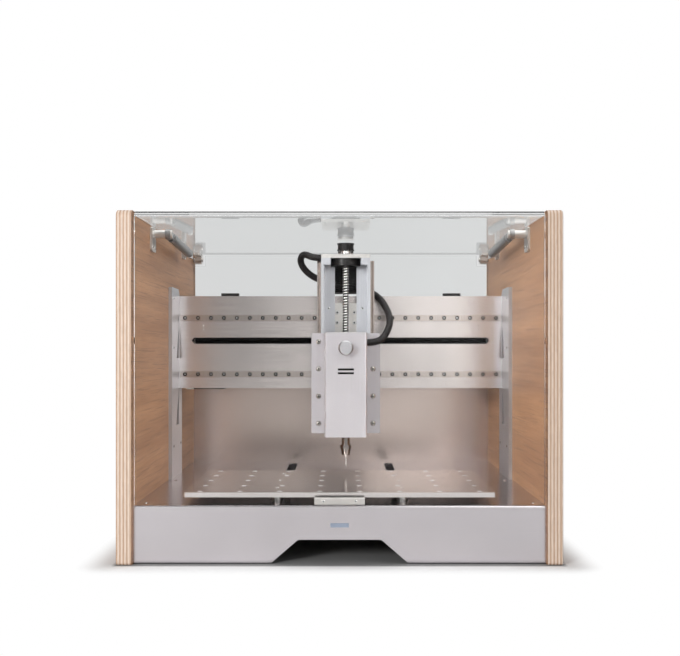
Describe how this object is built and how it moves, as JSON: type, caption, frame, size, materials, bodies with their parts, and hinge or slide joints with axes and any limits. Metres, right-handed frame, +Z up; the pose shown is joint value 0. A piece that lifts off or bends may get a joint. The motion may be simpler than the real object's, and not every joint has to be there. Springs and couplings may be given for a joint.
{
  "type": "cnc milling machine",
  "caption": "Desktop milling machine with plywood cheeks, a folded steel base, a sliding grid-drilled bed, a gantry spindle on linear rails and a clear lift-up hood.",
  "frame": {"origin": "on the floor, midway between the cheeks and midway along their depth", "axes": "+X to the right, +Y to the back, +Z up; the open front faces -Y"},
  "size_m": [0.548, 0.5, 0.436],
  "materials": {
    "plywood": "satin",
    "brushed_sheet": "brushed",
    "light_bar": "gloss",
    "clear_sheet": "gloss",
    "black_clip": "matte",
    "plate_aluminium": "satin",
    "bearing_steel": "satin",
    "dark_metal": "satin",
    "black_rubber": "matte",
    "knob_metal": "satin",
    "supply_metal": "satin",
    "board": "satin"
  },
  "bodies": {
    "machine": {"left_side_panel": "plywood", "right_side_panel": "plywood", "base_tray": "brushed_sheet", "status_light": "light_bar", "rear_wall": "brushed_sheet", "rear_window": "clear_sheet", "rear_window_clips": "black_clip", "uprights": "plate_aluminium", "gantry_beam": "plate_aluminium", "x_rails": "bearing_steel", "x_motor_bracket": "plate_aluminium", "screw_bearings": "plate_aluminium", "x_motor": "dark_metal", "x_belt": "black_rubber", "y_cross_members": "plate_aluminium", "y_rail_bars": "plate_aluminium", "y_rails": "bearing_steel", "y_motor_bracket": "plate_aluminium", "y_motor": "dark_metal", "hood_wall_fittings": "bearing_steel", "power_supply": "supply_metal", "controller_board": "board", "power_inlet": "black_clip"},
    "x_motor_pulley": {"x_motor_pulley": "dark_metal"},
    "x_screw": {"x_ball_screw": "bearing_steel"},
    "y_screw": {"y_ball_screw": "bearing_steel"},
    "bed": {"bed_plate": "plate_aluminium", "bed_screws": "bearing_steel", "bed_saddle": "plate_aluminium", "bed_runners": "bearing_steel"},
    "carriage": {"x_plate": "plate_aluminium", "x_runners": "bearing_steel", "x_nut_bracket": "plate_aluminium", "z_frame": "plate_aluminium", "z_top_plate": "plate_aluminium", "z_bearing": "dark_metal", "z_rails": "bearing_steel", "z_motor": "dark_metal", "z_belt": "black_rubber", "spindle_cable": "black_rubber"},
    "z_motor_pulley": {"z_motor_pulley": "dark_metal"},
    "z_screw": {"z_ball_screw": "bearing_steel", "z_screw_pulley": "dark_metal"},
    "slide": {"slide_frame": "plate_aluminium", "z_runners": "bearing_steel", "spindle_clamp": "plate_aluminium", "spindle_body": "dark_metal", "spindle_cover": "brushed_sheet", "cover_screws": "bearing_steel"},
    "spindle": {"spindle_shaft": "bearing_steel", "collet_nut": "bearing_steel", "end_mill": "bearing_steel"},
    "knob": {"speed_knob": "knob_metal"},
    "hood": {"hood": "clear_sheet", "hood_handle": "plate_aluminium", "hood_fittings": "bearing_steel"},
    "left_stay_cylinder": {"left_stay_cylinder": "bearing_steel"},
    "left_stay_rod": {"left_stay_rod": "bearing_steel"},
    "right_stay_cylinder": {"right_stay_cylinder": "bearing_steel"},
    "right_stay_rod": {"right_stay_rod": "bearing_steel"}
  },
  "joints": [
    {"name": "bed_slide", "type": "slide", "parent": "machine", "child": "bed", "axis": [0, 1, 0], "range_m": [0, 0.2]},
    {"name": "y_screw_turn", "type": "hinge", "parent": "machine", "child": "y_screw", "pos_m": [0, 0, 0.047], "axis": [0, 1, 0], "range_deg": [-18001, 1]},
    {"name": "carriage_slide", "type": "slide", "parent": "machine", "child": "carriage", "axis": [1, 0, 0], "range_m": [-0.16, 0.144]},
    {"name": "x_screw_turn", "type": "hinge", "parent": "machine", "child": "x_screw", "pos_m": [0, 0.106, 0.279], "axis": [1, 0, 0], "range_deg": [-12961, 14401]},
    {"name": "x_motor_turn", "type": "hinge", "parent": "machine", "child": "x_motor_pulley", "pos_m": [0, 0.106, 0.224], "axis": [1, 0, 0], "range_deg": [-12961, 14401]},
    {"name": "head_slide", "type": "slide", "parent": "carriage", "child": "slide", "axis": [0, 0, 1], "range_m": [-0.01, 0.075], "deforming": ["spindle_cable"]},
    {"name": "z_screw_turn", "type": "hinge", "parent": "carriage", "child": "z_screw", "pos_m": [0.008, 0.022, 0.3], "axis": [0, 0, 1], "range_deg": [-6751, 901]},
    {"name": "z_motor_turn", "type": "hinge", "parent": "carriage", "child": "z_motor_pulley", "pos_m": [0.008, 0.077, 0.4], "axis": [0, 0, 1], "range_deg": [-6751, 901]},
    {"name": "spindle_turn", "type": "hinge", "parent": "slide", "child": "spindle", "pos_m": [0.008, -0.048, 0.12], "axis": [0, 0, 1], "continuous": true},
    {"name": "knob_turn", "type": "hinge", "parent": "slide", "child": "knob", "pos_m": [0.008, -0.085, 0.267], "axis": [0, -1, 0], "range_deg": [0, 270]},
    {"name": "hood_hinge", "type": "hinge", "parent": "machine", "child": "hood", "pos_m": [0, 0.234, 0.421], "axis": [-1, 0, 0], "range_deg": [0, 40]},
    {"name": "left_stay_swing", "type": "hinge", "parent": "machine", "child": "left_stay_cylinder", "pos_m": [-0.233, -0.124, 0.421], "axis": [1, 0, 0], "range_deg": [-0.5, 28.81]},
    {"name": "left_stay_extend", "type": "slide", "parent": "left_stay_cylinder", "child": "left_stay_rod", "axis": [0, 0.9989, -0.0461], "range_m": [-0.0005, 0.05954]},
    {"name": "right_stay_swing", "type": "hinge", "parent": "machine", "child": "right_stay_cylinder", "pos_m": [0.233, -0.124, 0.421], "axis": [1, 0, 0], "range_deg": [-0.5, 28.81]},
    {"name": "right_stay_extend", "type": "slide", "parent": "right_stay_cylinder", "child": "right_stay_rod", "axis": [0, 0.9989, -0.0461], "range_m": [-0.0005, 0.05954]}
  ],
  "couplings": [
    {"joint": "y_screw_turn", "follows": "bed_slide", "rad_per_m": -1570.8},
    {"joint": "x_screw_turn", "follows": "carriage_slide", "rad_per_m": -1570.8},
    {"joint": "x_motor_turn", "follows": "carriage_slide", "rad_per_m": -1570.8},
    {"joint": "z_screw_turn", "follows": "head_slide", "rad_per_m": -1570.8},
    {"joint": "z_motor_turn", "follows": "head_slide", "rad_per_m": -1570.8},
    {"joint": "left_stay_swing", "follows": "hood_hinge", "ratio": 0.7077},
    {"joint": "left_stay_extend", "follows": "hood_hinge", "m_per_rad": 0.08457},
    {"joint": "right_stay_swing", "follows": "hood_hinge", "ratio": 0.7077},
    {"joint": "right_stay_extend", "follows": "hood_hinge", "m_per_rad": 0.08457}
  ]
}
